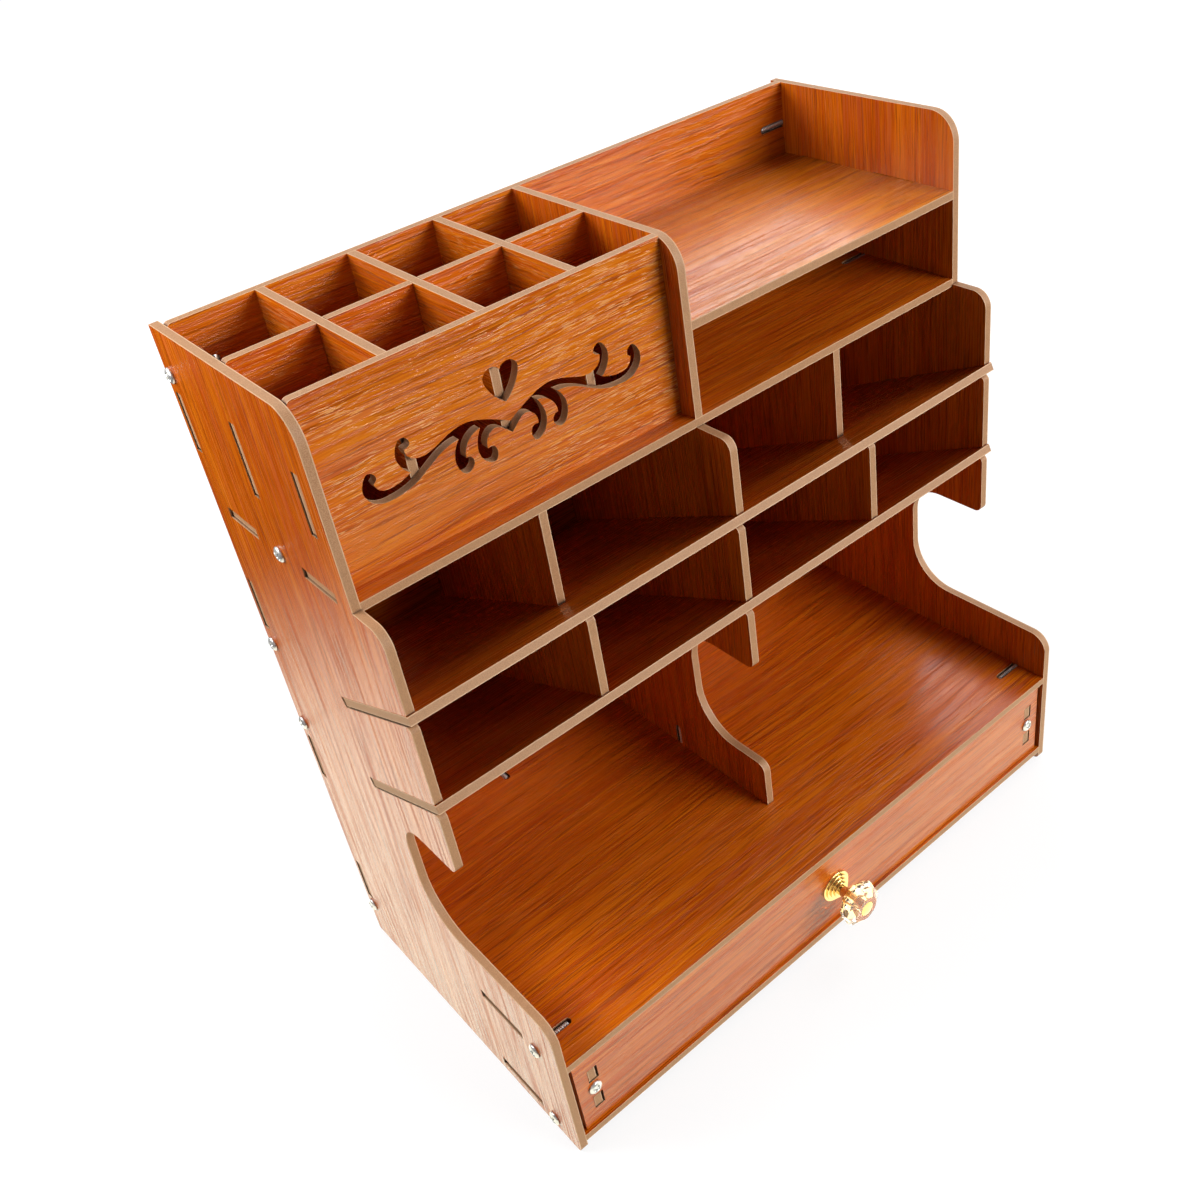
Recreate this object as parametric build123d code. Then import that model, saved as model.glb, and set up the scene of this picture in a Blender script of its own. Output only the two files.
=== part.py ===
from build123d import *
import math
import os

os.makedirs("parts", exist_ok=True)

# A free-standing desk organizer of flat boards: pen box and tray on top, two rows of
# pigeonholes on sloping shelves, an open desk space and one drawer.
# All sizes are in millimetres. X runs along the width, the front faces -Y and Z is up.
# A depth is measured forward from the rear edges of the side panels.

# Boards and their joints
board = 3.9                     # thickness of every board
slot_gap = 0.2                  # play round a tab in its slot, on each side
slot_slack = 0.8                # the same, on the sides where a slot is loose
lap_gap = 0.2                   # play above a sloping shelf in its open slot
lap_slack = 1.1                 # play below it
lap_pocket = 2.0                # open slot behind its wings
short_tab = 24.4
long_tab = 30.0
standing_tab_recess = 0.5       # ends of the tabs under the side panels' outer faces
lying_tab_recess = 1.0

# Case
case_width = 330.0              # over the outer faces of the side panels
case_height = 348.6
top_depth = 113.0               # pen box and tray
shelf_depth = 132.5             # pigeonholes
base_depth = 175.5              # desk space and drawer
neck_depth = 87.5               # behind the finger notch
hook_height = 39.3              # underside of the hooks to the lower sloping shelf
desk_wall_top = 86.0            # low walls beside the desk
ledge_rise = 1.1                # ledge in front of the pen box, over the pen floor's underside
back_inset = 3.0                # rear edges of the sides to the back panels
upper_back_height = 172.6
foot_gap = 5.2                  # under the bottom board

# Rounded corners of the uprights
top_round = 13.0
step_round = 8.0
middle_step_round = 5.5
hook_round = 4.0
notch_round = 18.0
desk_wall_round = 24.0
front_round = 9.5
middle_front_round = 5.0
toe_round = 3.0
lip_round = 2.5                 # under the mouth of a sloping shelf's slot
divider_round = 2.5             # top front corners of the lower dividers
end_round = 2.5                 # top left corners of the boards that stand between the sides
rounds_share = 0.95             # most of a wall that its rounded corners may take

# Shelves
pen_wall = 76.9                 # pen box and tray walls over the pen floor
tray_depth = 34.6               # top edges of the walls to the tray shelf
upper_hole_height = 35.6        # at the front of the upper pigeonholes
slope_spacing = 45.4            # between the top faces of the two sloping shelves
desk_top = 59.6
shelf_angle = 24.0              # the pigeonhole shelves fall towards the back
shelf_lip = 1.0                 # front edge in front of the uprights
lap_depth = 71.5                # where the open slots in the uprights end

# Pen box
pen_front_inset = 9.0           # ledge of the pen floor in front of the pen box
long_divider_depth = 55.6       # centre of the long divider
pen_cells = 4                   # cells in each row
lap_height = 38.4               # depth of the slots where the dividers cross

# Tabs, by the middle of each
upper_back_tab_low = 42.5       # over the panel's lower edge
upper_back_tab_high = 40.4      # under its upper edge
lower_back_tab_low = 35.8
lower_back_tab_high = 48.0
pen_tab_rise = 38.3             # over the pen floor
floor_tab_rear = 26.3
floor_tab_front = 23.3          # behind the pen floor's front edge
tray_tab_rear = 32.0
tray_tab_front = 34.0           # behind the tray shelf's front edge
desk_tab_front = 42.0           # behind the front edge of the desk shelf
lower_post_tab_depth = 82.0
upper_post_tab_depth = 34.0
foot_tab_depth = 98.0
upper_hole_tab_drop = 29.8      # under the pen floor
lower_hole_tab_drop = 24.0      # under the upper back panel

# Screws
screw_radius = 1.7
screw_head_radius = 3.35
screw_head_height = 2.1
screw_head_rim = 0.8
recess_length = 3.8
recess_width = 0.9
recess_depth = 1.2
screw_hole_gap = 0.15
screw_slot_gap = 0.15
screw_tip_gap = 1.4
side_screw_length = 18.0
short_screw_length = 15.0
upper_back_screw_low = 21.0     # over the panel's lower edge
upper_back_screw_high = 19.7    # under its upper edge
lower_back_screw_low = 17.3
lower_back_screw_high = 26.0
pen_floor_screw_depth = 58.0
desk_screw_front = 17.5         # behind the front edge of the desk shelf
rear_screw_inset = 80.6         # from the side panels
foot_screw_depth = 67.0

# Drawer
drawer_travel_gap = 0.3         # above the bottom board
drawer_top_gap = 0.8
drawer_side_gap = 2.2
drawer_recess = 1.5             # front face behind the case's front edges
drawer_wall_inset = 10.9        # side panels to the middle of each drawer side
drawer_back_gap = 5.1           # behind the drawer, to the back panel
drawer_back_inset = 3.0
drawer_wall_drop = 4.6          # under the desk shelf
drawer_tab = 6.8
drawer_slot_slack = 1.2         # right of and below the tabs in the drawer front
drawer_tab_spacing = 18.4
drawer_back_tab = 16.0
drawer_floor_tab_rear = 38.0    # in front of the drawer's rear
drawer_floor_tab_front = 45.1   # behind the drawer front

# Knob
rosette_radii = (8.4, 7.1, 5.7, 4.3)
rosette_step = 1.1
rosette_edge_round = 0.5
stem_radius = 2.7
stem_length = 5.2
collar_radius = 4.2
collar_length = 1.4
spigot_radius = 2.2
crystal_lobes = 8
crystal_rings = (               # ridge radius, valley radius and distance from the rear face
    (5.0, 4.9, 0.0),
    (9.8, 9.0, 2.4),
    (11.8, 10.5, 5.2),
    (10.8, 9.8, 8.2),
    (6.6, 6.4, 11.0),
)
cap_radius = 3.8
cap_recess = 1.2
cap_dome = 0.9
cap_gap = 0.15
knob_bore_gap = 0.1
knob_screw_radius = 2.0
knob_screw_head_radius = 4.0
knob_screw_head_height = 2.4
knob_screw_grip = 6.0

# Widths that follow
outer_x = case_width / 2
inner_x = outer_x - board
half = board / 2
cell_width = (inner_x - half - (pen_cells - 1) * board) / pen_cells
pen_box_middle = -(inner_x + half) / 2
hole_divider_x = (inner_x + half) / 2
rear_screw_x = inner_x - rear_screw_inset
drawer_side_x = inner_x - drawer_wall_inset
drawer_outer_x = drawer_side_x + half
drawer_inner_x = drawer_side_x - half

# Depths that follow
back_front = back_inset + board
back_middle = back_inset + half
pen_front = top_depth - pen_front_inset
pen_floor_tab_depths = (floor_tab_rear, top_depth - floor_tab_front)
tray_tab_depths = (tray_tab_rear, top_depth - tray_tab_front)
desk_tab_depth = base_depth - desk_tab_front
desk_screw_depth = base_depth - desk_screw_front
drawer_front_face = base_depth - drawer_recess
drawer_front_rear = drawer_front_face - board
drawer_rear = back_front + drawer_back_gap
drawer_back_rear = drawer_rear + drawer_back_inset
drawer_floor_tab_depths = (drawer_rear + drawer_floor_tab_rear,
                           drawer_front_rear - drawer_floor_tab_front)

# Heights that follow, down from the top edges
pen_floor_top = case_height - pen_wall
pen_floor_low = pen_floor_top - board
pen_tab_height = pen_floor_top + pen_tab_rise
tray_top = case_height - tray_depth
tray_low = tray_top - board
step_height = pen_floor_low + ledge_rise
upper_slope_front = pen_floor_low - upper_hole_height
lower_slope_front = upper_slope_front - slope_spacing
hook_low = lower_slope_front - hook_height
back_split = case_height - upper_back_height
upper_back_tab_heights = (back_split + upper_back_tab_low, case_height - upper_back_tab_high)
lower_back_tab_heights = (foot_gap + lower_back_tab_low, back_split - lower_back_tab_high)
upper_back_screw_heights = (back_split + upper_back_screw_low,
                            case_height - upper_back_screw_high)
lower_back_screw_heights = (foot_gap + lower_back_screw_low,
                            back_split - lower_back_screw_high)
upper_hole_tab_height = pen_floor_low - upper_hole_tab_drop
lower_hole_tab_height = back_split - lower_hole_tab_drop

# Heights that follow, up from the foot
bottom_top = foot_gap + board
desk_low = desk_top - board
drawer_low = bottom_top + drawer_travel_gap
drawer_floor_top = drawer_low + board
drawer_high = desk_low - drawer_top_gap
drawer_wall_top = desk_low - drawer_wall_drop
drawer_middle = (drawer_floor_top + drawer_wall_top) / 2

slope = math.radians(shelf_angle)
lap_length = (shelf_depth - lap_depth) / math.cos(slope)
slope_length = (shelf_depth - back_front) / math.cos(slope)

rosette_length = rosette_step * len(rosette_radii)
crystal_length = crystal_rings[-1][2]
stem_start = drawer_front_face + rosette_length
crystal_start = stem_start + stem_length
crystal_end = crystal_start + crystal_length
knob_reach = crystal_end + cap_dome
back_y = knob_reach / 2


def place(depth):
    """Y of a depth measured forward from the case's rear edge."""
    return back_y - depth


def block(x_low, x_high, depth_low, depth_high, z_low, z_high):
    """A box between two X values, two depths and two heights."""
    body = Box(x_high - x_low, depth_high - depth_low, z_high - z_low)
    middle = place((depth_low + depth_high) / 2)
    return Pos((x_low + x_high) / 2, middle, (z_low + z_high) / 2) * body


def slot(tab):
    """The cut for a tab, given by the same six sides."""
    x_low, x_high, depth_low, depth_high, z_low, z_high = tab
    return block(x_low - slot_gap, x_high + slot_gap, depth_low - slot_gap,
                 depth_high + slot_gap, z_low - slot_gap, z_high + slot_gap)


def rounds_within(wall, *radii):
    """Radii of the corners at the ends of a wall, smaller where they take too much of it."""
    return [radius * min(1, wall * rounds_share / sum(radii)) for radius in radii]


def loose_slot(tab, low_play, high_play):
    """The cut for a tab right through a side panel, loose behind the tab."""
    x_low, x_high, depth_low, depth_high, z_low, z_high = tab
    return block(x_low - board, x_high + board, depth_low - slot_slack,
                 depth_high + slot_gap, z_low - low_play, z_high + high_play)


def upright(x_middle, corners, radii):
    """A board that stands front to back, from its outline of depths and heights."""
    points = [(place(depth), height) for depth, height in corners]
    outline = FilletPolyline(*points, radius=radii, close=True)
    return extrude(Plane.YZ.offset(x_middle - half) * make_face(outline), board)


def with_tabs(piece, tabs):
    for tab in tabs:
        piece += block(*tab)
    return piece


def with_slots(piece, tabs):
    for tab in tabs:
        piece -= slot(tab)
    return piece


def rounded_end(piece):
    """A standing board with the top corner of its left end rounded."""
    corner = (-inner_x, piece.center().Y, case_height)
    edge = piece.edges().filter_by(Axis.Y).sort_by_distance(corner)[0]
    return fillet(edge, end_round)


def tab_span(side, recess):
    """Low and high X of a tab in a side panel, which ends this far under its outer face."""
    return (inner_x, outer_x - recess) if side > 0 else (recess - outer_x, -inner_x)


# Tabs: six sides each, shared by the board that has the tab and the board it enters
def standing_tab(x_span, depth_middle, height_middle, length):
    """A tab of a board that faces the front, through an upright."""
    return (*x_span, depth_middle - half, depth_middle + half,
            height_middle - length / 2, height_middle + length / 2)


def lying_tab(x_span, depth_middle, z_low, length):
    """A tab of a lying board, through an upright."""
    return (*x_span, depth_middle - length / 2, depth_middle + length / 2,
            z_low, z_low + board)


def upper_back_tabs(side):
    return [standing_tab(tab_span(side, standing_tab_recess), back_middle, height, short_tab)
            for height in upper_back_tab_heights]


def lower_back_tabs(side):
    return [standing_tab(tab_span(side, standing_tab_recess), back_middle, height, short_tab)
            for height in lower_back_tab_heights]


def pen_floor_tabs(side):
    return [lying_tab(tab_span(side, lying_tab_recess), depth, pen_floor_low, short_tab)
            for depth in pen_floor_tab_depths]


def tray_tabs(x_span):
    return [lying_tab(x_span, depth, tray_low, short_tab) for depth in tray_tab_depths]


def desk_tab(side):
    return lying_tab(tab_span(side, lying_tab_recess), desk_tab_depth, desk_low, long_tab)


def bottom_tab(side):
    return lying_tab(tab_span(side, lying_tab_recess), desk_tab_depth, foot_gap, long_tab)


middle_span = (-half, half)
pen_wall_span = tab_span(-1, standing_tab_recess)
tray_side_span = tab_span(1, lying_tab_recess)


def pen_front_tab(x_span):
    return standing_tab(x_span, pen_front - half, pen_tab_height, short_tab)


def long_divider_tab(x_span):
    return standing_tab(x_span, long_divider_depth, pen_tab_height, long_tab)


def post_tab(depth_middle, z_low):
    """A tab of a middle panel, up or down through a lying board."""
    return (-half, half, depth_middle - short_tab / 2, depth_middle + short_tab / 2,
            z_low, z_low + board)


def hole_tab(x_middle, height_middle):
    """A tab at the back of a pigeonhole divider, through a back panel."""
    return (x_middle - half, x_middle + half, back_inset, back_front,
            height_middle - short_tab / 2, height_middle + short_tab / 2)


def dome_arc(radius, rim, top):
    """Half the outline of a shallow dome that is part of a ball, from its rim to its top."""
    rise = abs(top - rim)
    ball = (radius ** 2 + rise ** 2) / (2 * rise)
    turn = math.asin(radius / ball) / 2
    drop = ball * (1 - math.cos(turn))
    return ThreePointArc((radius, rim), (ball * math.sin(turn), top - math.copysign(drop, top - rim)),
                         (0, top))


# Screws
def cross_screw(radius, length, head_radius, head_height):
    """A pan-head screw along +Z, with the underside of its head at the origin."""
    outline = Polyline((0, length), (radius, length), (radius, 0), (head_radius, 0),
                       (head_radius, -screw_head_rim))
    dome = dome_arc(head_radius, -screw_head_rim, -head_height)
    axis = Line((0, -head_height), (0, length))
    screw = revolve(Plane.XZ * make_face(outline + dome + axis), Axis.Z)
    recess = Pos(0, 0, recess_depth / 2 - head_height)
    screw -= recess * Box(recess_length, recess_width, recess_depth)
    screw -= recess * Box(recess_width, recess_length, recess_depth)
    return screw


def small_screw(length, at, along):
    """A case screw whose head bears on the face at a point and points along a direction."""
    screw = cross_screw(screw_radius, length, screw_head_radius, screw_head_height)
    return Plane(origin=at, z_dir=along) * screw


def screw_hole(at, along):
    """The round hole for a screw through the board that its head bears on."""
    drill = Cylinder(screw_radius + screw_hole_gap, board * 3)
    return Plane(origin=at, z_dir=along) * drill


def screw_slot(at, inward, through, screw_length):
    """The open slot in a board's edge that a screw lies in, with a round end."""
    width = 2 * (screw_radius + screw_slot_gap)
    length = screw_length - board + screw_tip_gap - width / 2
    outline = Pos(length / 2, 0) * Rectangle(length, width)
    outline += Pos(length, 0) * Circle(width / 2)
    return Plane(origin=at, x_dir=inward, z_dir=through) * extrude(outline, board, both=True)


side_screw_places = (
    [(back_middle, height) for height in upper_back_screw_heights]
    + [(back_middle, height) for height in lower_back_screw_heights]
    + [(pen_floor_screw_depth, pen_floor_low + half),
       (desk_screw_depth, desk_low + half),
       (desk_screw_depth, foot_gap + half)])


def side_screws(side):
    return Compound(children=[
        small_screw(side_screw_length, (side * outer_x, place(depth), height), (-side, 0, 0))
        for depth, height in side_screw_places])


def edge_slots(piece, depth, height, through):
    """Screw slots in both ends of a board that lies between the side panels."""
    for side in (-1, 1):
        at = (side * inner_x, place(depth), height)
        piece -= screw_slot(at, (-side, 0, 0), through, side_screw_length)
    return piece


# Sloping shelves
def slope_height(front_height, depth):
    """Top face of a sloping shelf at a depth."""
    return front_height - (shelf_depth - depth) * math.tan(slope)


def slope_plane(front_height):
    """Plane of a sloping shelf's top face, whose Y runs down to the back."""
    return Plane(origin=(0, place(shelf_depth), front_height), x_dir=(1, 0, 0),
                 z_dir=(0, math.sin(slope), math.cos(slope)))


def with_slope_slots(upright_board, x_middle):
    """Open slots for the sloping shelves in an upright, each with a rounded lower lip."""
    mouth = board * 3
    reach = lap_length + lap_pocket
    height = lap_gap + board + lap_slack
    cut = Pos(x_middle, (reach - mouth) / 2, lap_gap - height / 2)
    cut *= Box(board * 2, reach + mouth, height)
    for front_height in (upper_slope_front, lower_slope_front):
        upright_board -= slope_plane(front_height) * cut
        lip_height = front_height - (board + lap_slack) / math.cos(slope)
        lip = (x_middle, place(shelf_depth), lip_height)
        edge = upright_board.edges().filter_by(Axis.X).sort_by_distance(lip)[0]
        upright_board = fillet(edge, lip_round)
    return upright_board


def sloping_shelf(front_height):
    length = slope_length + shelf_lip
    shelf = Pos(0, length / 2 - shelf_lip, -half) * Box(case_width, length, board)
    notch_start = lap_length - slot_gap
    notch_length = slope_length - notch_start + slot_gap
    notch_middle = notch_start + notch_length / 2
    notches = [(0, board + 2 * slot_gap),
               (outer_x, 2 * (board + slot_gap)),
               (-outer_x, 2 * (board + slot_gap))]
    for x_middle, width in notches:
        shelf -= Pos(x_middle, notch_middle, -half) * Box(width, notch_length, board * 2)
    return slope_plane(front_height) * shelf


# Uprights
def neck_rounds():
    """The rounded corners above and below the neck."""
    return rounds_within(hook_low - desk_wall_top, notch_round, desk_wall_round)


def side_panel(side):
    """A side panel, with the slots and holes of everything that it holds."""
    corners = [(0, 0), (0, case_height), (top_depth, case_height), (top_depth, step_height),
               (shelf_depth, step_height), (shelf_depth, hook_low), (neck_depth, hook_low),
               (neck_depth, desk_wall_top), (base_depth, desk_wall_top), (base_depth, 0)]
    notch_top, notch_foot = neck_rounds()
    ledge_round, = rounds_within(shelf_depth - top_depth, step_round)
    radii = [0, 0, top_round, 0, ledge_round, hook_round, notch_top, notch_foot,
             front_round, toe_round]
    x_middle = side * (outer_x - half)
    panel = with_slope_slots(upright(x_middle, corners, radii), x_middle)
    standing_tabs = upper_back_tabs(side) + lower_back_tabs(side)
    lying_tabs = pen_floor_tabs(side) + [desk_tab(side), bottom_tab(side)]
    if side < 0:
        standing_tabs += [pen_front_tab(pen_wall_span), long_divider_tab(pen_wall_span)]
    else:
        lying_tabs += tray_tabs(tray_side_span)
    for tab in standing_tabs:
        panel -= loose_slot(tab, slot_slack, slot_slack)
    for tab in lying_tabs:
        if side < 0:
            panel -= loose_slot(tab, slot_gap, slot_slack)
        else:
            panel -= loose_slot(tab, slot_slack, slot_gap)
    for depth, height in side_screw_places:
        panel -= screw_hole((side * outer_x, place(depth), height), (side, 0, 0))
    return panel


def lower_middle_panel():
    corners = [(back_front, desk_top), (back_front, pen_floor_low),
               (shelf_depth, pen_floor_low), (shelf_depth, hook_low),
               (neck_depth, hook_low), (neck_depth, desk_wall_top),
               (shelf_depth, desk_wall_top), (shelf_depth, desk_top)]
    radii = [0, 0, middle_step_round, hook_round, *neck_rounds(), middle_front_round, 0]
    panel = with_slope_slots(upright(0, corners, radii), 0)
    panel = with_tabs(panel, [post_tab(lower_post_tab_depth, pen_floor_low),
                              post_tab(foot_tab_depth, desk_low)])
    foot = (0, place(foot_screw_depth), desk_top)
    panel -= screw_slot(foot, (0, 0, 1), (1, 0, 0), short_screw_length)
    return panel


def upper_middle_panel():
    corners = [(back_front, pen_floor_top), (back_front, case_height),
               (top_depth, case_height), (top_depth, pen_floor_top)]
    panel = upright(0, corners, [0, 0, top_round, 0])
    panel = with_slots(panel, [pen_front_tab(middle_span), long_divider_tab(middle_span)])
    panel = with_slots(panel, tray_tabs(middle_span))
    return with_tabs(panel, [post_tab(upper_post_tab_depth, pen_floor_low)])


# Back panels
def back_panel(z_low, z_high, tabs_of, screw_heights, divider_tab_height):
    panel = block(-inner_x, inner_x, back_inset, back_front, z_low, z_high)
    for side in (-1, 1):
        panel = with_tabs(panel, tabs_of(side))
        panel = with_slots(panel, [hole_tab(side * hole_divider_x, divider_tab_height)])
    for height in screw_heights:
        panel = edge_slots(panel, back_middle, height, (0, 1, 0))
    return panel


def upper_back_panel():
    return rounded_end(back_panel(back_split, case_height, upper_back_tabs,
                                  upper_back_screw_heights, upper_hole_tab_height))


def lower_back_panel():
    panel = back_panel(foot_gap, back_split, lower_back_tabs, lower_back_screw_heights,
                       lower_hole_tab_height)
    for side in (-1, 1):
        at = (side * rear_screw_x, place(back_inset), desk_low + half)
        panel -= screw_hole(at, (0, 1, 0))
    return panel


# Lying boards
def pen_floor_shelf():
    shelf = block(-inner_x, inner_x, back_front, top_depth, pen_floor_low, pen_floor_top)
    shelf = with_tabs(shelf, pen_floor_tabs(-1) + pen_floor_tabs(1))
    shelf = with_slots(shelf, [post_tab(lower_post_tab_depth, pen_floor_low),
                               post_tab(upper_post_tab_depth, pen_floor_low)])
    return edge_slots(shelf, pen_floor_screw_depth, pen_floor_low + half, (0, 0, 1))


def tray_shelf():
    shelf = block(half, inner_x, back_front, top_depth, tray_low, tray_top)
    return with_tabs(shelf, tray_tabs(middle_span) + tray_tabs(tray_side_span))


def desk_shelf():
    shelf = block(-inner_x, inner_x, back_front, base_depth, desk_low, desk_top)
    shelf = with_tabs(shelf, [desk_tab(-1), desk_tab(1)])
    shelf = with_slots(shelf, [post_tab(foot_tab_depth, desk_low)])
    shelf = edge_slots(shelf, desk_screw_depth, desk_low + half, (0, 0, 1))
    for side in (-1, 1):
        at = (side * rear_screw_x, place(back_front), desk_low + half)
        shelf -= screw_slot(at, (0, -1, 0), (0, 0, 1), short_screw_length)
    return shelf - screw_hole((0, place(foot_screw_depth), desk_low), (0, 0, 1))


def bottom_board():
    floor = block(-inner_x, inner_x, back_front, base_depth, foot_gap, bottom_top)
    floor = with_tabs(floor, [bottom_tab(-1), bottom_tab(1)])
    return edge_slots(floor, desk_screw_depth, foot_gap + half, (0, 0, 1))


# Pigeonhole dividers
def upper_hole_divider(side):
    corners = [(back_front, slope_height(upper_slope_front, back_front)),
               (back_front, pen_floor_low), (top_depth, pen_floor_low),
               (top_depth, slope_height(upper_slope_front, top_depth))]
    divider = upright(side * hole_divider_x, corners, [0, 0, 0, 0])
    return with_tabs(divider, [hole_tab(side * hole_divider_x, upper_hole_tab_height)])


def lower_hole_divider(side):
    drop = board / math.cos(slope)
    corners = [(back_front, slope_height(lower_slope_front, back_front)),
               (back_front, slope_height(upper_slope_front, back_front) - drop),
               (shelf_depth, upper_slope_front - drop),
               (shelf_depth, lower_slope_front)]
    divider = upright(side * hole_divider_x, corners, [0, 0, divider_round, 0])
    return with_tabs(divider, [hole_tab(side * hole_divider_x, lower_hole_tab_height)])


# Pen box
def divider_x(number):
    """Centre of a cross divider, counted from the left side panel."""
    return -inner_x + number * (cell_width + board) - half


def pen_long_divider():
    divider = block(-inner_x, -half, long_divider_depth - half, long_divider_depth + half,
                    pen_floor_top, case_height)
    divider = with_tabs(rounded_end(divider),
                        [long_divider_tab(pen_wall_span), long_divider_tab(middle_span)])
    for number in range(1, pen_cells):
        x_middle = divider_x(number)
        divider -= block(x_middle - half - slot_gap, x_middle + half + slot_gap,
                         long_divider_depth - board, long_divider_depth + board,
                         case_height - lap_height, case_height + board)
    return divider


def pen_cross_divider(number):
    x_middle = divider_x(number)
    divider = block(x_middle - half, x_middle + half, back_front, pen_front - board,
                    pen_floor_top, case_height)
    return divider - block(x_middle - board, x_middle + board,
                           long_divider_depth - half - slot_gap,
                           long_divider_depth + half + slot_gap,
                           pen_floor_top - board, case_height - lap_height)


# Fretwork, in widths from the middle of the pen front and heights from its own base line
fret_rise = 27.7                # base line over the pen floor
fret_top_band = [(0, 5.6), (9.6, 10.6), (19.8, 13.2), (29.6, 10.7), (39.2, 8.8),
                 (43.3, 11.2), (44.0, 14.3)]
fret_inner_curl = [(44.0, 14.3), (41.4, 16.6), (43.8, 19.0), (47.6, 15.4), (47.0, 8.9),
                   (43.6, 4.9)]
fret_outer_rise = [(43.6, 4.9), (50.0, 2.9), (56.4, 3.7), (58.4, 7.3)]
fret_outer_curl = [(58.4, 7.3), (57.0, 9.7), (59.6, 12.0), (62.2, 9.6), (63.1, 4.9),
                   (58.6, -0.8), (51.2, -1.8), (43.4, -0.3), (34.0, 4.7), (28.2, 7.3),
                   (22.4, 8.2)]
fret_far_hook = [(22.4, 8.2), (25.0, 4.2), (25.3, -2.4), (22.1, -6.3), (18.7, -4.4),
                 (18.8, -1.2), (21.1, -0.2)]
fret_far_tip = [(21.1, -0.2), (20.1, 4.1), (17.0, 7.3), (13.0, 8.5)]
fret_near_hook = [(13.0, 8.5), (15.2, 3.8), (15.4, -1.8), (12.7, -6.0), (9.6, -7.1),
                  (7.9, -4.4), (8.8, -1.2), (11.6, -0.8)]
fret_near_tip = [(11.6, -0.8), (11.2, 2.7), (9.0, 5.1), (6.4, 5.6), (3.4, 3.9), (0, 0.7)]
fret_stretches = [fret_top_band, fret_inner_curl, fret_outer_rise, fret_outer_curl,
                  fret_far_hook, fret_far_tip, fret_near_hook, fret_near_tip]
heart_tip = (0, 13.6)
heart_flank = (5.2, 18.9)
heart_side = (7.8, 24.6)
heart_lobe = (4.6, 28.9)
heart_notch = (0, 26.8)


def mirrored(point):
    return (-point[0], point[1])


def fret_cut():
    """The scroll and the heart above it, mirrored about the middle, as one cutter."""
    edges = [Spline(*stretch) for stretch in fret_stretches]
    edges += [Spline(*[mirrored(point) for point in stretch]) for stretch in fret_stretches]
    scroll = make_face(edges)
    heart_points = [heart_notch, heart_lobe, heart_side, heart_flank, heart_tip]
    heart_edges = []
    for side in (heart_points, [mirrored(point) for point in heart_points]):
        heart_edges.append(ThreePointArc(*side[0:3]))
        heart_edges.append(ThreePointArc(*side[2:5]))
    heart = make_face(heart_edges)
    plane = Plane(origin=(pen_box_middle, place(pen_front - half), pen_floor_top + fret_rise),
                  x_dir=(1, 0, 0), z_dir=(0, -1, 0))
    return [plane * extrude(face, board, both=True) for face in (scroll, heart)]


def pen_front_panel():
    panel = block(-inner_x, -half, pen_front - board, pen_front, pen_floor_top, case_height)
    panel = with_tabs(rounded_end(panel),
                      [pen_front_tab(pen_wall_span), pen_front_tab(middle_span)])
    for cutter in fret_cut():
        panel -= cutter
    return panel


# Drawer
def drawer_front_tabs(side):
    x_middle = side * drawer_side_x
    return [(x_middle - half, x_middle + half, drawer_front_rear, drawer_front_face,
             height - drawer_tab / 2, height + drawer_tab / 2)
            for height in (drawer_middle - drawer_tab_spacing / 2,
                           drawer_middle + drawer_tab_spacing / 2)]


def drawer_floor_tabs(side):
    x_middle = side * drawer_side_x
    return [(x_middle - half, x_middle + half, depth - short_tab / 2, depth + short_tab / 2,
             drawer_low, drawer_floor_top) for depth in drawer_floor_tab_depths]


def drawer_back_tab_at(side):
    x_middle = side * drawer_side_x
    return (x_middle - half, x_middle + half, drawer_back_rear, drawer_back_rear + board,
            drawer_middle - drawer_back_tab / 2, drawer_middle + drawer_back_tab / 2)


def drawer_front():
    width = inner_x - drawer_side_gap
    front = block(-width, width, drawer_front_rear, drawer_front_face, drawer_low, drawer_high)
    for side in (-1, 1):
        for x_low, x_high, depth_low, depth_high, z_low, z_high in drawer_front_tabs(side):
            front -= block(x_low - slot_gap, x_high + drawer_slot_slack, depth_low - slot_gap,
                           depth_high + slot_gap, z_low - drawer_slot_slack, z_high + slot_gap)
        at = (side * drawer_side_x, place(drawer_front_face), drawer_middle)
        front -= screw_hole(at, (0, 1, 0))
    bore = Cylinder(knob_screw_radius + knob_bore_gap, board * 3)
    return front - Plane(origin=(0, place(drawer_front_face), drawer_middle),
                         z_dir=(0, 1, 0)) * bore


def drawer_side(side):
    x_middle = side * drawer_side_x
    wall = block(x_middle - half, x_middle + half, drawer_rear, drawer_front_rear,
                 drawer_floor_top, drawer_wall_top)
    wall = with_tabs(wall, drawer_front_tabs(side) + drawer_floor_tabs(side))
    wall = with_slots(wall, [drawer_back_tab_at(side)])
    at = (x_middle, place(drawer_front_rear), drawer_middle)
    return wall - screw_slot(at, (0, 1, 0), (1, 0, 0), short_screw_length)


def drawer_back():
    wall = block(-drawer_inner_x, drawer_inner_x, drawer_back_rear, drawer_back_rear + board,
                 drawer_floor_top, drawer_wall_top)
    return with_tabs(wall, [drawer_back_tab_at(-1), drawer_back_tab_at(1)])


def drawer_floor():
    floor = block(-drawer_outer_x, drawer_outer_x, drawer_rear, drawer_front_rear,
                  drawer_low, drawer_floor_top)
    return with_slots(floor, drawer_floor_tabs(-1) + drawer_floor_tabs(1))


# Knob, turned about an axis that points out of the drawer front
knob_plane = Plane(origin=(0, place(drawer_front_face), drawer_middle), x_dir=(1, 0, 0),
                   z_dir=(0, -1, 0))


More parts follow.
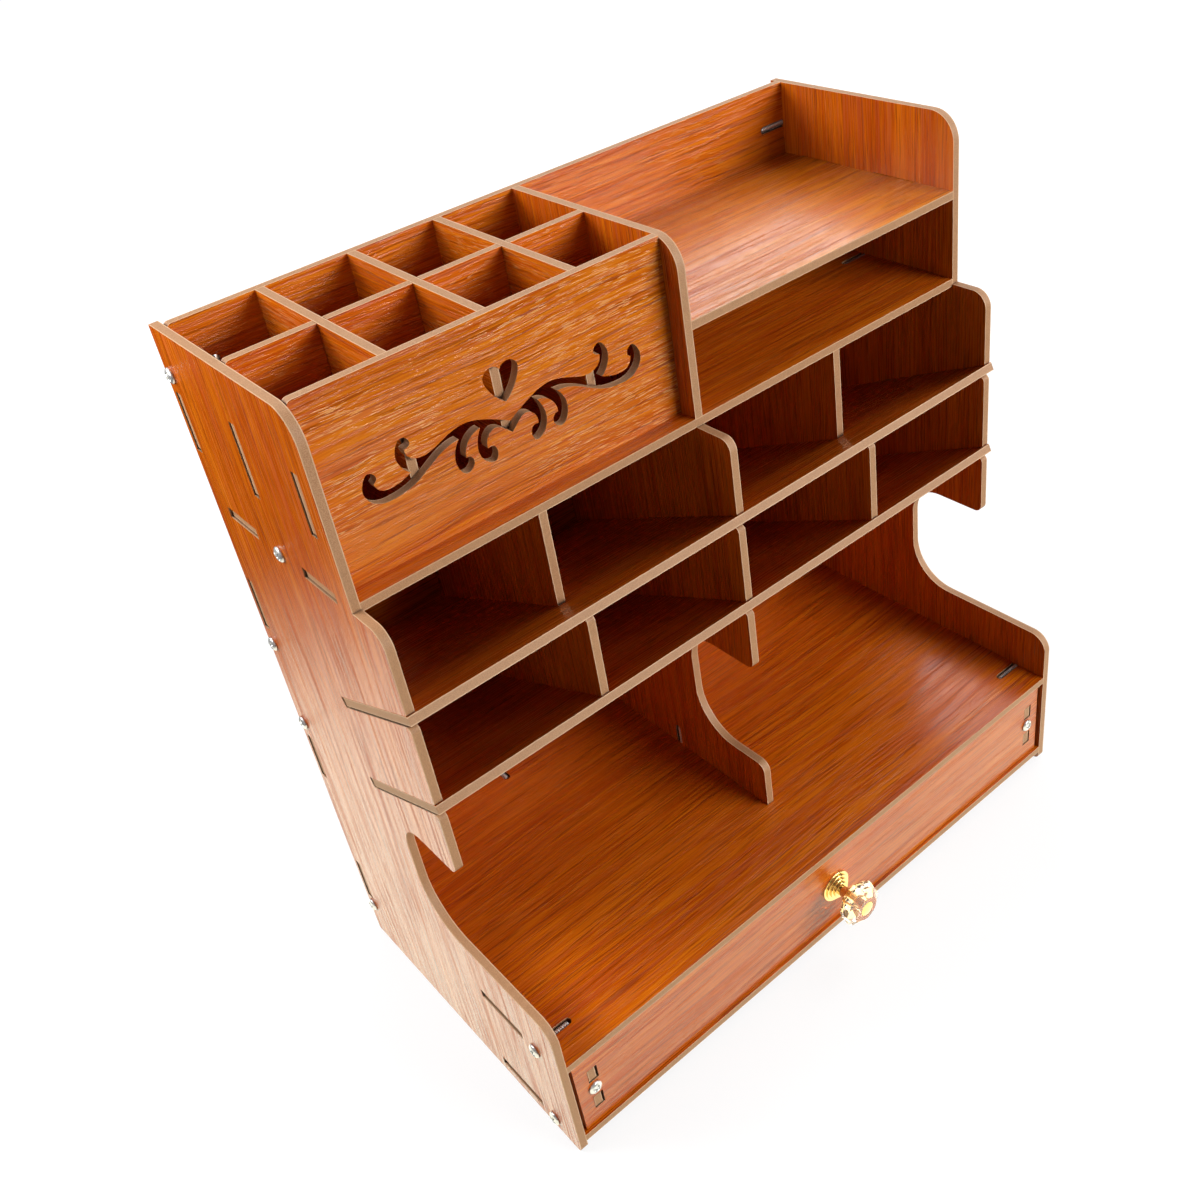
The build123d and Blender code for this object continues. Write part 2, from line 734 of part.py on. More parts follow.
def knob_rosette():
    """A stepped round plate against the drawer front."""
    plate = Part()
    for number, radius in enumerate(rosette_radii):
        ring = Cylinder(radius, rosette_step, align=(Align.CENTER, Align.CENTER, Align.MIN))
        ring = fillet(ring.edges().sort_by(Axis.Z)[-1], rosette_edge_round)
        plate += Pos(0, 0, number * rosette_step) * ring
    plate -= Cylinder(knob_screw_radius + knob_bore_gap, rosette_length * 3)
    return knob_plane * plate


def knob_stem():
    """The stem, the collar behind the crystal and the spigot through it, in one piece."""
    spigot_end = rosette_length + stem_length + crystal_length - cap_recess
    collar_end = rosette_length + stem_length
    points = [(0, rosette_length), (stem_radius, rosette_length),
              (stem_radius, collar_end - collar_length), (collar_radius, collar_end - collar_length),
              (collar_radius, collar_end), (spigot_radius, collar_end),
              (spigot_radius, spigot_end), (0, spigot_end)]
    stem = revolve(Plane.XZ * make_face(Polyline(*points, close=True)), Axis.Z)
    bore = Cylinder(knob_screw_radius + knob_bore_gap, knob_screw_grip + knob_bore_gap,
                    align=(Align.CENTER, Align.CENTER, Align.MIN))
    return knob_plane * (stem - Pos(0, 0, rosette_length) * bore)


def crystal_ring(ridge, valley, height):
    """A flat ring of ridges and valleys, one pair for each lobe."""
    count = 2 * crystal_lobes
    points = []
    for number in range(count):
        reach = valley if number % 2 else ridge
        angle = 2 * math.pi * number / count
        points.append((reach * math.cos(angle), reach * math.sin(angle), height))
    return make_face(Polyline(*points, close=True))


def knob_crystal():
    """A clear faceted body with lobes round its girdle."""
    crystal = loft([crystal_ring(*ring) for ring in crystal_rings], ruled=True)
    crystal -= Cylinder(spigot_radius + knob_bore_gap, crystal_length * 3)
    recess = Cylinder(cap_radius + cap_gap, cap_recess * 2)
    crystal -= Pos(0, 0, crystal_length) * recess
    return knob_plane * Pos(0, 0, rosette_length + stem_length) * crystal


def knob_cap():
    """The low dome that closes the front of the crystal."""
    rim = Polyline((0, 0), (cap_radius, 0), (cap_radius, cap_recess))
    dome = dome_arc(cap_radius, cap_recess, cap_recess + cap_dome)
    axis = Line((0, cap_recess + cap_dome), (0, 0))
    cap = revolve(Plane.XZ * make_face(rim + dome + axis), Axis.Z)
    seat = rosette_length + stem_length + crystal_length - cap_recess
    return knob_plane * Pos(0, 0, seat) * cap


def knob_screw():
    """The screw from inside the drawer front into the knob's stem."""
    length = board + rosette_length + knob_screw_grip
    screw = cross_screw(knob_screw_radius, length, knob_screw_head_radius,
                        knob_screw_head_height)
    return knob_plane * Pos(0, 0, -board) * screw


# Screw groups
def rear_screws():
    return Compound(children=[
        small_screw(short_screw_length,
                    (side * rear_screw_x, place(back_inset), desk_low + half), (0, -1, 0))
        for side in (-1, 1)])


def foot_screw():
    return small_screw(short_screw_length, (0, place(foot_screw_depth), desk_low), (0, 0, 1))


def drawer_screws():
    return Compound(children=[
        small_screw(short_screw_length,
                    (side * drawer_side_x, place(drawer_front_face), drawer_middle), (0, 1, 0))
        for side in (-1, 1)])


pieces = {
    "left_side_panel": side_panel(-1),
    "right_side_panel": side_panel(1),
    "lower_middle_panel": lower_middle_panel(),
    "upper_middle_panel": upper_middle_panel(),
    "upper_back_panel": upper_back_panel(),
    "lower_back_panel": lower_back_panel(),
    "pen_floor_shelf": pen_floor_shelf(),
    "tray_shelf": tray_shelf(),
    "upper_sloping_shelf": sloping_shelf(upper_slope_front),
    "lower_sloping_shelf": sloping_shelf(lower_slope_front),
    "desk_shelf": desk_shelf(),
    "bottom_board": bottom_board(),
    "upper_hole_divider_left": upper_hole_divider(-1),
    "upper_hole_divider_right": upper_hole_divider(1),
    "lower_hole_divider_left": lower_hole_divider(-1),
    "lower_hole_divider_right": lower_hole_divider(1),
    "pen_front_panel": pen_front_panel(),
    "pen_long_divider": pen_long_divider(),
    "drawer_front": drawer_front(),
    "drawer_side_left": drawer_side(-1),
    "drawer_side_right": drawer_side(1),
    "drawer_back": drawer_back(),
    "drawer_floor": drawer_floor(),
    "knob_rosette": knob_rosette(),
    "knob_stem": knob_stem(),
    "knob_crystal": knob_crystal(),
    "knob_cap": knob_cap(),
    "knob_screw": knob_screw(),
    "left_screws": side_screws(-1),
    "right_screws": side_screws(1),
    "rear_screws": rear_screws(),
    "foot_screw": foot_screw(),
    "drawer_screws": drawer_screws(),
}
for cross_number in range(1, pen_cells):
    pieces[f"pen_cross_divider_{cross_number}"] = pen_cross_divider(cross_number)

for name, piece in pieces.items():
    export_step(piece, f"parts/{name}.step")
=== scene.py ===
import math
import random

import bmesh
import bpy
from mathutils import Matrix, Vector

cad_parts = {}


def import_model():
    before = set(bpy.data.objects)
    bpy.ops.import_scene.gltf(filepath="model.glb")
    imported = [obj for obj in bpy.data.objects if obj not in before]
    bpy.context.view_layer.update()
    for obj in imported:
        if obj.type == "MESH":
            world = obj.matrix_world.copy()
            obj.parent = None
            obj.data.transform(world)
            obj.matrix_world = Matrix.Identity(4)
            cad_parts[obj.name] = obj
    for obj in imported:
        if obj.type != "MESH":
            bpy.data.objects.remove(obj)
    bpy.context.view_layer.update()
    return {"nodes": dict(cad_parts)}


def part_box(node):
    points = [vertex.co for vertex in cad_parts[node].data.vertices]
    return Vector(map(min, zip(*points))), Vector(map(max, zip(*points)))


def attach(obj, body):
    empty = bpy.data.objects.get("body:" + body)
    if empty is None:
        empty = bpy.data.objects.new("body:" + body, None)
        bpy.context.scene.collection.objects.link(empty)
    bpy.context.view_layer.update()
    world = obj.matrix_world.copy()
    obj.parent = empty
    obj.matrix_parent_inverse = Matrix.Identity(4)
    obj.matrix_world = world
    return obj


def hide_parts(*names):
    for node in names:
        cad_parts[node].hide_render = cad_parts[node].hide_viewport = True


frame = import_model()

MM = 0.001

# Camera at the photograph's angle, in a 1200 x 1200 frame
camera_place = (-0.2905, -0.3768, 0.5320)
camera_turn = (54.512, 7.103, -40.701)  # degrees
camera_sensor = 36.0
camera_lens = 38.72
camera_shift = (-0.04846, -0.03580)

# Boards
seed = 11
board = 3.9 * MM
shelf_angle = math.radians(24.0)
laminate_line = 0.4 * MM        # the laminate layer, seen on a cut edge
line_blur = 0.35                # part of that layer over which it fades
emboss_depth = 0.05 * MM
board_ior = 1.45
grain_reach = 90                # how far apart in the noise the boards may lie
plain_painted_glints = 0.10             # how pale the embossed dashes are painted as glints, on boards not listed below
# Painted glints: for each board, how pale its embossed dashes are painted where they catch the
# light
painted_glints = {"pen_front_panel": 0.75, "pen_long_divider": 0.45, "tray_shelf": 0.20,
          "pen_cross_divider_1": 0.45, "pen_cross_divider_2": 0.45,
          "pen_cross_divider_3": 0.45, "upper_back_panel": 0.30}
plain_golden = 0.0              # how far a board's tone leans to gold
golden = {"tray_shelf": 1.0, "upper_back_panel": 0.4, "pen_front_panel": 0.4,
          "pen_cross_divider_1": 0.4, "pen_cross_divider_2": 0.4, "pen_cross_divider_3": 0.4}

# Screws: what the sizes of the CAD ones don't give
thread_pitch = 1.1 * MM
thread_core = 0.74              # core radius, as a part of the crest's
thread_crest = 1.6              # above 1 the crests are sharper than the roots
thread_sides = 24
thread_rows = 6                 # rows of points in each turn of the thread
tip_taper = 1.5                 # turns over which the tip narrows
tip_blunt = 0.55                # radius left at the tip, as a part of the crest's
head_sides = 48
head_rings = 14
head_rim = 0.36                 # straight rim, as a part of the head's height
rim_ring = 0.8                  # where the rim's upper ring lies, as a part of the rim
dome_reach = (0.97, 0.02)       # first and last ring of the dome, as parts of the radius
recess_depth = 1.3 * MM
recess_width = 0.75 * MM
recess_reach = 0.62             # how far the cross reaches, as a part of the head's radius
recess_end = 0.12               # how long its sloping ends are, in the same measure
weld = MM / 1000                # vertices closer than this are one
tip_rows = MM / 10              # how near its end a screw's shank is measured
wider = 1.05                    # beyond this many shank radii a vertex is of the head

along_x = Vector((1, 0, 0))
along_y = Vector((0, 1, 0))
along_z = Vector((0, 0, 1))
slope_up = Vector((0, math.sin(shelf_angle), math.cos(shelf_angle)))

# Each board: the direction through its thickness and the direction of its grain
board_ways = [
    (along_x, along_z, ["left_side_panel", "right_side_panel", "lower_middle_panel",
                        "upper_middle_panel", "upper_hole_divider_left",
                        "upper_hole_divider_right", "lower_hole_divider_left",
                        "lower_hole_divider_right"]),
    (along_x, along_y, ["pen_cross_divider_1", "pen_cross_divider_2", "pen_cross_divider_3",
                        "drawer_side_left", "drawer_side_right"]),
    (along_y, along_x, ["upper_back_panel", "lower_back_panel", "pen_front_panel",
                        "pen_long_divider", "drawer_front", "drawer_back"]),
    (along_z, along_x, ["pen_floor_shelf", "tray_shelf", "desk_shelf", "bottom_board",
                        "drawer_floor"]),
    (slope_up, along_x, ["upper_sloping_shelf", "lower_sloping_shelf"]),
]

# Each group of screws: the way it points, from head to tip, and the body it moves with
screw_groups = {
    "left_screws": (along_x, "case"),
    "right_screws": (-along_x, "case"),
    "rear_screws": (-along_y, "case"),
    "foot_screw": (along_z, "case"),
    "drawer_screws": (along_y, "drawer"),
    "knob_screw": (-along_y, "drawer"),
}
gold_nodes = ["knob_rosette", "knob_stem", "knob_cap"]


# Node helpers
class Graph:
    """Short calls for adding and joining nodes in one tree."""

    def __init__(self, tree):
        self.tree = tree

    def node(self, kind, inputs=(), **settings):
        node = self.tree.nodes.new(kind)
        for key, value in settings.items():
            setattr(node, key, value)
        for key, value in dict(inputs).items():
            if isinstance(value, bpy.types.NodeSocket):
                self.tree.links.new(value, node.inputs[key])
            else:
                node.inputs[key].default_value = value
        return node

    def math(self, operation, a, b=0.0):
        return self.node("ShaderNodeMath", {0: a, 1: b}, operation=operation).outputs[0]

    def add(self, a, b):
        """The sum of two vectors."""
        return self.node("ShaderNodeVectorMath", {0: a, 1: b}, operation="ADD").outputs[0]

    def dot(self, a, b):
        node = self.node("ShaderNodeVectorMath", {0: a, 1: b}, operation="DOT_PRODUCT")
        return node.outputs["Value"]

    def combine(self, x, y, z):
        return self.node("ShaderNodeCombineXYZ", {0: x, 1: y, 2: z}).outputs[0]

    def noise(self, vector, scale=1.0, detail=2.0, roughness=0.5):
        node = self.node("ShaderNodeTexNoise", {"Vector": vector, "Scale": scale,
                                                "Detail": detail, "Roughness": roughness})
        return node.outputs["Fac"]

    def ramp(self, value, low, high, to_low=0.0, to_high=1.0):
        """A smooth step of a value from one range to another."""
        node = self.node("ShaderNodeMapRange", {"Value": value, "From Min": low,
                                                "From Max": high, "To Min": to_low,
                                                "To Max": to_high},
                         interpolation_type="SMOOTHSTEP")
        return node.outputs[0]


def mix_colour(graph, factor, a, b, blend="MIX"):
    """a where the factor is 0, b or their product where it is 1."""
    node = graph.tree.nodes.new("ShaderNodeMix")
    node.data_type = "RGBA"
    node.blend_type = blend
    # The colour sockets share their names with others, so they are taken by number
    for socket, value in zip((node.inputs[0], node.inputs[6], node.inputs[7]), (factor, a, b)):
        if isinstance(value, bpy.types.NodeSocket):
            graph.tree.links.new(value, socket)
        else:
            socket.default_value = value
    return node.outputs[2]


def mix_value(graph, factor, a, b):
    """a where the factor is 0, b where it is 1."""
    keep = graph.math("MULTIPLY", a, graph.math("SUBTRACT", 1.0, factor))
    return graph.math("ADD", keep, graph.math("MULTIPLY", b, factor))


def new_group(name, inputs, outputs):
    tree = bpy.data.node_groups.new(name, "ShaderNodeTree")
    for key, kind in inputs:
        tree.interface.new_socket(key, in_out="INPUT", socket_type=kind)
    for key, kind in outputs:
        tree.interface.new_socket(key, in_out="OUTPUT", socket_type=kind)
    graph = Graph(tree)
    return graph, graph.node("NodeGroupInput"), graph.node("NodeGroupOutput")


def new_material(name):
    material = bpy.data.materials.new(name)
    material.use_nodes = True
    graph = Graph(material.node_tree)
    shader = material.node_tree.nodes["Principled BSDF"]
    return material, graph, shader


# Laminated board
wood_gold = (0.740, 0.215, 0.0080, 1)
wood_light = (0.545, 0.115, 0.0020, 1)
wood_deep = (0.410, 0.058, 0.0009, 1)
wood_dark = (0.210, 0.028, 0.0006, 1)
# the painted glint on the embossed dashes
painted_glint_colour = (0.700, 0.330, 0.105, 1)
golden_tint = (1.02, 1.34, 1.60, 1)     # what a fully golden board's colour is multiplied by
edge_colour = (0.460, 0.250, 0.124, 1)
edge_dark = (0.310, 0.150, 0.066, 1)
edge_line = (0.600, 0.395, 0.235, 1)
# Painted shade on cut edges that face each other closely, as in slots and narrow cuts
edge_painted_shade = (0.035, 0.012, 0.005, 1)
painted_shade_reach = 2.5 * MM           # how near two cut edges face each other where they get painted shade

# Printed and embossed figures: length along the grain and width across it in millimetres,
# a place in the noise that sets each apart from the others, and its detail
figures = {
    "sway": (150.0, 60.0, 3.0, 1.0),
    "ripple": (14.0, 9.0, 7.0, 1.0),
    "broad": (320.0, 14.0, 11.0, 2.0),
    "bands": (200.0, 3.0, 19.0, 1.0),
    "fibre": (30.0, 0.5, 29.0, 1.0),
    "streak": (30.0, 0.8, 41.0, 1.0),
    "ribs": (60.0, 1.0, 61.0, 1.0),
    "flecks": (6.5, 0.42, 53.0, 1.0),
    "patches": (50.0, 16.0, 71.0, 2.0),
}
sway_reach = 9.0                # how far the grain wanders, in millimetres
ripple_reach = 0.8
side_shift = 37.0               # sets a board's two faces apart in the noise
tone_parts = (0.32, 0.28, 0.40)         # broad, bands and fibre

# From where to where in its noise each figure fades in, and how strong it gets
tone_fade = (0.38, 0.62)
bright_fade, bright_most = (0.54, 0.64), 0.35
dark_fade, dark_most = (0.57, 0.66), 0.62
painted_glint_fade = (0.575, 0.64)
patch_fade, patch_least = (0.40, 0.60), 0.12
groove_fade = (0.48, 0.38)
raised_fade, raised_most = (0.52, 0.68), 0.7
grit_fade, grit_scale, grit_detail, grit_roughness = (0.62, 0.38), 2.6, 3.0, 0.7
cloud_scale, cloud_most = 0.25, 0.35
cut_fade = (0.80, 0.60)         # how squarely a face looks out before it counts as a cut edge
# Painted shade on cut edges: the ambient occlusion over which it fades in, and the rays that
# measure it
painted_shade_fade, painted_shade_samples = (0.72, 0.42), 6
line_most = 0.8
face_roughness, groove_roughness, raw_roughness = 0.21, 0.22, 0.60


def laminate_group():
    """Colour, roughness and height of a laminated board, with its raw cut edges, painted shade
    where cut edges face each other and painted glints on its embossed dashes.
    """
    graph, given, result = new_group(
        "laminate",
        [("Along", "NodeSocketVector"), ("Across", "NodeSocketVector"),
         ("Through", "NodeSocketVector"), ("Middle", "NodeSocketFloat"),
         ("Offset", "NodeSocketVector"), ("Painted glints", "NodeSocketFloat"),
         ("Golden", "NodeSocketFloat")],
        [("Color", "NodeSocketColor"), ("Roughness", "NodeSocketFloat"),
         ("Height", "NodeSocketFloat")])
    place = graph.node("ShaderNodeTexCoord").outputs["Object"]
    normal = graph.node("ShaderNodeTexCoord").outputs["Normal"]
    millimetres = graph.node("ShaderNodeVectorMath", {0: place, "Scale": 1 / MM},
                             operation="SCALE")
    at = millimetres.outputs[0]
    u = graph.dot(at, given.outputs["Along"])
    v = graph.dot(at, given.outputs["Across"])
    w = graph.math("SUBTRACT", graph.dot(at, given.outputs["Through"]),
                   given.outputs["Middle"])
    side = graph.math("SIGN", w)
    shift = graph.add(given.outputs["Offset"],
                      graph.combine(graph.math("MULTIPLY", side, side_shift), 0.0, 0.0))

    def figure(name, across):
        """Noise drawn out along the grain."""
        length, width, place_in_noise, detail = figures[name]
        point = graph.combine(graph.math("DIVIDE", u, length),
                              graph.math("DIVIDE", across, width), place_in_noise)
        return graph.noise(graph.add(point, shift), detail=detail)

    sway = graph.math("SUBTRACT", figure("sway", v), 0.5)
    ripple = graph.math("SUBTRACT", figure("ripple", v), 0.5)
    line = graph.math("ADD", v, graph.math("MULTIPLY", sway, sway_reach))
    line = graph.math("ADD", line, graph.math("MULTIPLY", ripple, ripple_reach))
    tone = 0.0
    for name, part in zip(("broad", "bands", "fibre"), tone_parts):
        tone = graph.math("ADD", tone, graph.math("MULTIPLY", figure(name, line), part))
    ribs = figure("ribs", line)
    flecks = figure("flecks", line)

    colour = mix_colour(graph, graph.ramp(tone, *tone_fade), wood_deep, wood_light)
    bright = graph.math("MULTIPLY", graph.ramp(ribs, *bright_fade), bright_most)
    colour = mix_colour(graph, bright, colour, wood_gold)
    dark = graph.math("MULTIPLY", graph.ramp(figure("streak", line), *dark_fade), dark_most)
    colour = mix_colour(graph, dark, colour, wood_dark)
    colour = mix_colour(graph, given.outputs["Golden"], colour, golden_tint, "MULTIPLY")
    # Painted glints: pale dashes where the embossed flecks catch the light, in patches and at
    # each board's strength
    painted_glint = graph.math("MULTIPLY", graph.ramp(flecks, *painted_glint_fade),
                      graph.ramp(figure("patches", v), *patch_fade, patch_least, 1.0))
    painted_glint = graph.math("MULTIPLY", painted_glint, given.outputs["Painted glints"])
    colour = mix_colour(graph, painted_glint, colour, painted_glint_colour)

    facing = graph.math("ABSOLUTE", graph.dot(normal, given.outputs["Through"]))
    raw = graph.ramp(facing, *cut_fade)
    grit = graph.noise(at, scale=grit_scale, detail=grit_detail, roughness=grit_roughness)
    cloud = graph.noise(at, scale=cloud_scale)
    edge = mix_colour(graph, graph.ramp(grit, *grit_fade), edge_colour, edge_dark)
    edge = mix_colour(graph, graph.math("MULTIPLY", cloud, cloud_most), edge, edge_dark)
    near_face = graph.math("SUBTRACT", board / MM / 2, graph.math("ABSOLUTE", w))
    border = graph.ramp(near_face, laminate_line / MM * (1 + line_blur),
                        laminate_line / MM * (1 - line_blur))
    edge = mix_colour(graph, graph.math("MULTIPLY", border, line_most), edge, edge_line)
    # Painted shade: cut edges darken where another face is near, as in slots and narrow cuts
    open_sky = graph.node("ShaderNodeAmbientOcclusion", {"Distance": painted_shade_reach},
                          samples=painted_shade_samples)
    painted_shade = graph.ramp(open_sky.outputs["AO"], *painted_shade_fade)
    edge = mix_colour(graph, painted_shade, edge, edge_painted_shade)
    colour = mix_colour(graph, raw, colour, edge)

    groove = graph.ramp(ribs, *groove_fade)
    gloss = graph.math("ADD", face_roughness, graph.math("MULTIPLY", groove, groove_roughness))
    rough = mix_value(graph, raw, gloss, raw_roughness)
    raised = graph.math("MULTIPLY", graph.ramp(flecks, *raised_fade), raised_most)
    relief = mix_value(graph, raw, graph.math("SUBTRACT", raised, groove), grit)
    links = graph.tree.links
    links.new(colour, result.inputs["Color"])
    links.new(rough, result.inputs["Roughness"])
    links.new(relief, result.inputs["Height"])
    return graph.tree


def board_material(name, through, along, group):
    """The laminate on one board, with its own stretch of the printed grain."""
    material, graph, shader = new_material(name + "_laminate")
    low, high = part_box(name)
    middle = (low + high) / 2
    if through is slope_up:
        middle = sloping_middle(name)
    wood = graph.node("ShaderNodeGroup", node_tree=group)
    wood.inputs["Along"].default_value = along
    wood.inputs["Across"].default_value = through.cross(along)
    wood.inputs["Through"].default_value = through
    wood.inputs["Middle"].default_value = middle.dot(through) / MM
    wood.inputs["Offset"].default_value = [dice.uniform(-grain_reach, grain_reach)
                                           for axis in range(3)]
    wood.inputs["Painted glints"].default_value = painted_glints.get(name, plain_painted_glints)
    wood.inputs["Golden"].default_value = golden.get(name, plain_golden)
    bump = graph.node("ShaderNodeBump", {"Strength": 1.0, "Distance": emboss_depth,
                                         "Height": wood.outputs["Height"]})
    links = graph.tree.links
    links.new(wood.outputs["Color"], shader.inputs["Base Color"])
    links.new(wood.outputs["Roughness"], shader.inputs["Roughness"])
    links.new(bump.outputs[0], shader.inputs["Normal"])
    shader.inputs["IOR"].default_value = board_ior
    return material


def sloping_middle(name):
    """A point half-way through a tilted board, from the reach of its vertices."""
    reach = [vertex.co.dot(slope_up) for vertex in frame["nodes"][name].data.vertices]
    return slope_up * (min(reach) + max(reach)) / 2


# Metals: colours where clean and where smudged, roughness in the same two places, how metallic
# they are, and the scale of the smudges
metals = {
    "polished_steel": ((0.74, 0.73, 0.71, 1), (0.56, 0.55, 0.53, 1), (0.16, 0.28), 0.55, 900.0),
    "polished_gold": ((0.90, 0.67, 0.30, 1), (0.74, 0.50, 0.18, 1), (0.14, 0.26), 0.9, 500.0),
}
smudge_fade, smudge_detail = (0.3, 0.7), 3.0

crystal_clear = (0.95, 0.84, 0.78, 1)
crystal_painted_gold = (0.93, 0.62, 0.20, 1)    # painted: the gold behind it, as seen through its rear
painted_gold_start = 1.5 * MM           # in front of its middle
painted_gold_end = 2.0 * MM             # in front of its rear
crystal_roughness = (0.03, 0.10)
crystal_transmission = 0.88
crystal_ior = 1.36
flow_fade, flow_scale, flow_detail = (0.3, 0.7), 120.0, 1.0


def metal_material(name):
    clean, smudged, roughness, metallic, scale = metals[name]
    material, graph, shader = new_material(name)
    place = graph.node("ShaderNodeTexCoord").outputs["Object"]
    smudge = graph.noise(place, scale=scale, detail=smudge_detail)
    links = graph.tree.links
    links.new(mix_colour(graph, smudge, clean, smudged), shader.inputs["Base Color"])
    links.new(graph.ramp(smudge, *smudge_fade, *roughness), shader.inputs["Roughness"])
    shader.inputs["Metallic"].default_value = metallic
    return material


def crystal_material():
    material, graph, shader = new_material("clear_crystal")
    place = graph.node("ShaderNodeTexCoord").outputs["Object"]
    flow = graph.noise(place, scale=flow_scale, detail=flow_detail)
    low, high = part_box("knob_crystal")
    depth = graph.node("ShaderNodeSeparateXYZ", {0: place}).outputs[1]
    # Painted gold seen through the crystal: its rear turns gold, as the gold behind shows
    # through it
    rear = graph.ramp(depth, (low.y + high.y) / 2 - painted_gold_start,
                      high.y - painted_gold_end)
    colour = mix_colour(graph, rear, crystal_clear, crystal_painted_gold)
    links = graph.tree.links
    links.new(colour, shader.inputs["Base Color"])
    links.new(graph.ramp(flow, *flow_fade, *crystal_roughness), shader.inputs["Roughness"])
    shader.inputs["Transmission Weight"].default_value = crystal_transmission
    shader.inputs["IOR"].default_value = crystal_ior
    return material


def screw_islands(name, way):
    """Each screw in a CAD node: a point on its axis, then along that axis the top of the head,
    the foot of the head and the tip, and the radii of the head and the shank."""
    copy = bmesh.new()
    copy.from_mesh(frame["nodes"][name].data)
    bmesh.ops.remove_doubles(copy, verts=copy.verts[:], dist=weld)
    waiting = set(copy.verts)
    found = []
    while waiting:
        reached = [waiting.pop()]
        for vertex in reached:
            for edge in vertex.link_edges:
                other = edge.other_vert(vertex)
                if other in waiting:
                    waiting.remove(other)
                    reached.append(other)
        places = [vertex.co.copy() for vertex in reached]
        lows = Vector([min(place[axis] for place in places) for axis in range(3)])
        highs = Vector([max(place[axis] for place in places) for axis in range(3)])
        middle = (lows + highs) / 2
        middle -= way * middle.dot(way)
        rows = [(place.dot(way), (place - way * place.dot(way) - middle).length)
                for place in places]
        tip = max(along for along, reach in rows)
        top = min(along for along, reach in rows)
        shank = max(reach for along, reach in rows if along > tip - tip_rows)
        head = max(reach for along, reach in rows)
        foot = max(along for along, reach in rows if reach > shank * wider)
        found.append((middle, top, foot, tip, head, shank))
    copy.free()
    return sorted(found, key=lambda row: tuple(row[0]) + (row[1],))


def skin(mesh, rings):
    """Faces between rings of vertices, and one face over each end."""
    for first, second in zip(rings, rings[1:]):
        count = len(first)
        for number in range(count):
            other = (number + 1) % count
            mesh.faces.new((first[number], first[other], second[other], second[number]))
    mesh.faces.new(rings[0][::-1])
    mesh.faces.new(rings[-1])


def screw_head(mesh, point, height, radius, spin):
    """A pan head with a Phillips recess, as rings from its foot to its middle."""
    rim = height * head_rim
    rise = height - rim
    ball = (radius ** 2 + rise ** 2) / (2 * rise)
    turns = [math.tau * number / head_sides for number in range(head_sides)]
    rings = []
    for lift in (0.0, rim * rim_ring):
        rings.append([mesh.verts.new(point(radius, turn, -lift)) for turn in turns])
    first, last = dome_reach
    for step in range(head_rings):
        reach = radius * (first - (first - last) * step / (head_rings - 1))
        lift = rim + math.sqrt(ball ** 2 - reach ** 2) - (ball - rise)
        ring = []
        for turn in turns:
            a = abs(reach * math.cos(turn + spin))
            b = abs(reach * math.sin(turn + spin))
            inside = min(1.0, max(0.0, (recess_width - min(a, b)) / (recess_width / 2)))
            end = (radius * recess_reach - max(a, b)) / (radius * recess_end)
            inside *= min(1.0, max(0.0, end))
            ring.append(mesh.verts.new(point(reach, turn, recess_depth * inside - lift)))
        rings.append(ring)
    skin(mesh, rings)


def screw_thread(mesh, point, length, radius):
    """A threaded shank with a blunt, chamfered tip."""
    rows = round(length / thread_pitch * thread_rows)
    rings = []
    for row in range(rows + 1):
        along = length * row / rows
        near_tip = min(1.0, (length - along) / (thread_pitch * tip_taper) + tip_blunt)
        ring = []
        for number in range(thread_sides):
            turn = math.tau * number / thread_sides
            phase = (along / thread_pitch - turn / math.tau) % 1.0
            crest = abs(2 * phase - 1) ** thread_crest
            reach = radius * (thread_core + (1 - thread_core) * crest) * near_tip
            ring.append(mesh.verts.new(point(reach, turn, along)))
        rings.append(ring)
    skin(mesh, rings)


def threaded_screws(name, way, body, material):
    """Detailed screws in the places of a CAD node's plain ones."""
    mesh = bmesh.new()
    side = way.orthogonal().normalized()
    other = way.cross(side)
    for middle, top, foot, tip, head, shank in screw_islands(name, way):
        start = middle + way * foot

        def point(reach, turn, along):
            return start + way * along + (side * math.cos(turn) + other * math.sin(turn)) * reach

        screw_head(mesh, point, foot - top, head, dice.uniform(0, math.pi / 2))
        screw_thread(mesh, point, tip - foot, shank)
    bmesh.ops.recalc_face_normals(mesh, faces=mesh.faces[:])
    data = bpy.data.meshes.new(name + "_threaded")
    mesh.to_mesh(data)
    mesh.free()
    for face in data.polygons:
        face.use_smooth = True
    data.materials.append(material)
    screws = bpy.data.objects.new(name + "_threaded", data)
    bpy.context.scene.collection.objects.link(screws)
    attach(screws, body)
    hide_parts(name)


def dress(name, material):
    """Gives every slot of a CAD node the same material."""
    node = frame["nodes"][name]
    node.data.materials.clear()
    node.data.materials.append(material)


# Light, floor and camera
object_middle = Vector((0, 0, 0.16))

# Lamps: bearing from the front and height in degrees, distance, size and power
lamps = {
    "left_back": (-135, 30, 2.0, (1.0, 1.0), 27.0),
    "left": (-110, 34, 0.5, (0.25, 0.25), 1.05),
    "left_front": (-50, 20, 2.0, (1.0, 1.0), 3.0),
    "front_low": (30, 21, 2.0, (1.4, 0.5), 48.0),
    "right_high": (92, 50, 2.0, (1.0, 1.0), 16.0),
    "back_high": (170, 60, 2.0, (1.0, 1.0), 11.5),
    "back_card": (136, 34, 2.0, (0.9, 0.7), 8.2),
}
world_light = 0.008
world_gloss = 0.02              # the world's light in a gloss

